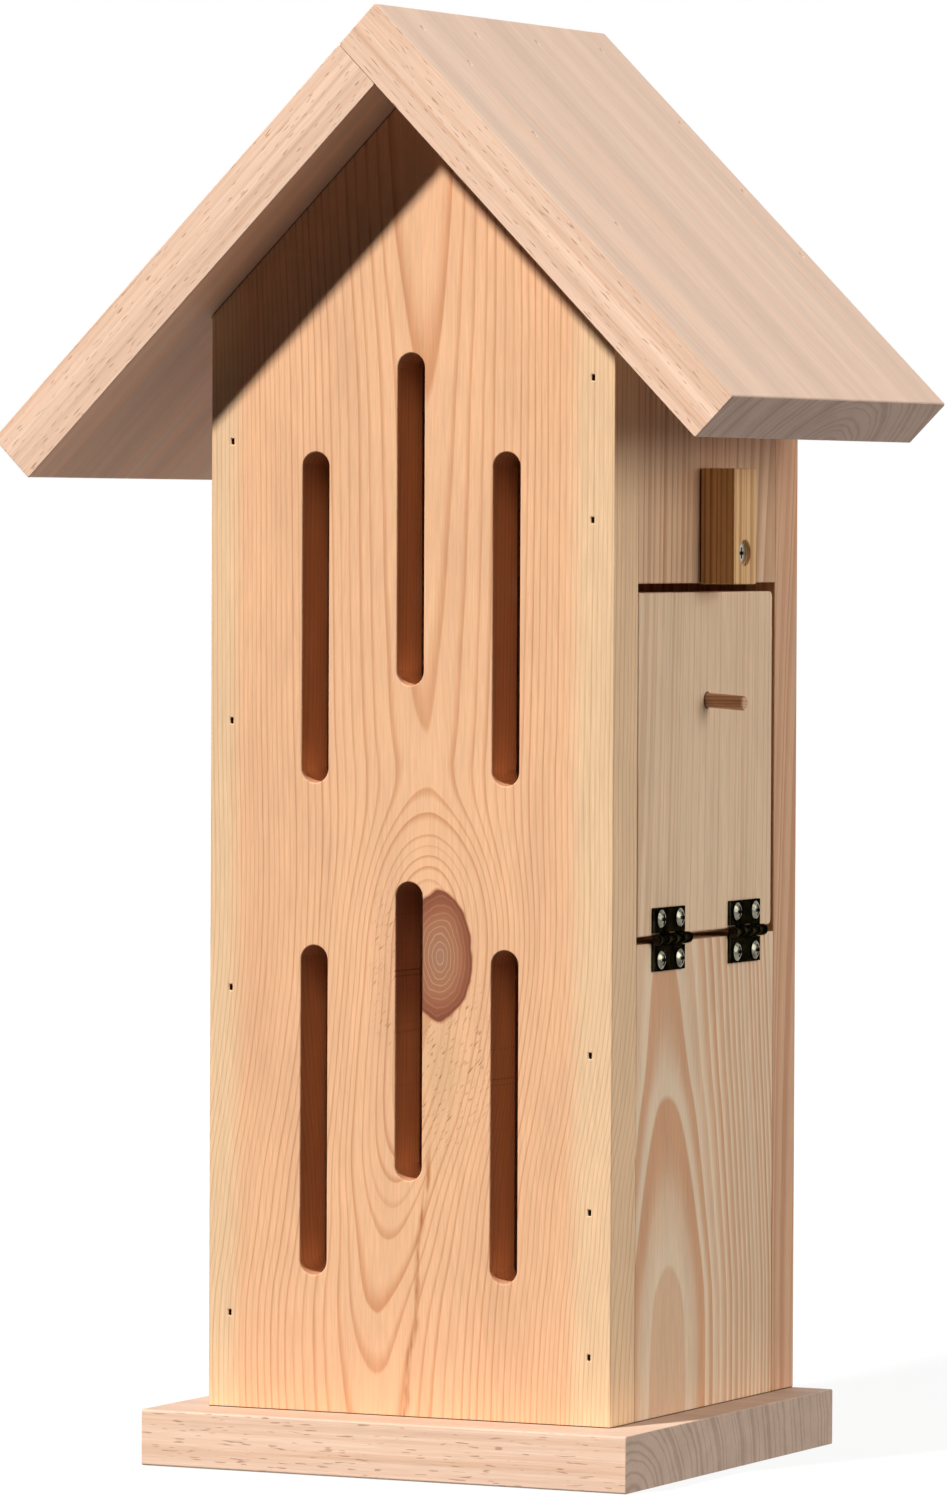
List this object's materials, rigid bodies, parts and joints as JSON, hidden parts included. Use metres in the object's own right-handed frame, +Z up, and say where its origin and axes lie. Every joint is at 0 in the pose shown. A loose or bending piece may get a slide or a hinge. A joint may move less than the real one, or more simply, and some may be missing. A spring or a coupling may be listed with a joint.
{
  "type": "butterfly house",
  "caption": "Gabled wooden butterfly house with tall round-ended entry slots, a lapped two-board roof and a drop-down side door held by a wooden turn button.",
  "frame": {"origin": "centre of the base board's underside", "axes": "+Z up, -Y out of the slotted front, +X out of the side with the door"},
  "size_m": [0.273, 0.178, 0.489],
  "materials": {
    "pine_front": "planed softwood, clear matt oil",
    "pine_side": "planed softwood, clear matt oil",
    "steamed_beech": "planed hardwood with sawn ends",
    "beech_dowel": "turned hardwood dowel",
    "dark_nickel": "tarnished plating",
    "nickel": "bright nickel plating",
    "steel_wire": "bare drawn wire, dulled"
  },
  "bodies": {
    "house": {"base_board": "steamed_beech", "front_panel": "pine_front", "back_panel": "pine_front", "left_side_board": "pine_side", "right_upper_board": "pine_side", "right_lower_board": "pine_side", "roof_board_left": "steamed_beech", "roof_board_right": "steamed_beech", "front_panel_nails": "steel_wire", "back_panel_nails": "steel_wire", "roof_ridge_nails": "steel_wire", "roof_right_nails": "steel_wire", "roof_left_nails": "steel_wire", "base_nails": "steel_wire", "button_screw": "nickel", "front_hinge_house_leaf": "dark_nickel", "front_hinge_pin": "nickel", "rear_hinge_house_leaf": "dark_nickel", "rear_hinge_pin": "nickel", "house_leaf_screws": "nickel"},
    "door": {"door_board": "pine_side", "door_peg": "beech_dowel", "front_hinge_door_leaf": "dark_nickel", "rear_hinge_door_leaf": "dark_nickel", "door_leaf_screws": "nickel"},
    "turn_button": {"turn_button": "pine_side"}
  },
  "joints": [
    {"name": "door_hinge", "type": "hinge", "parent": "house", "child": "door", "pos_m": [0.077, 0.0092, 0.17925], "axis": [0, 1, 0], "range_deg": [0, 165]},
    {"name": "turn_button_pivot", "type": "hinge", "parent": "house", "child": "turn_button", "pos_m": [0.075, 0.012, 0.3082], "axis": [1, 0, 0], "continuous": true}
  ]
}
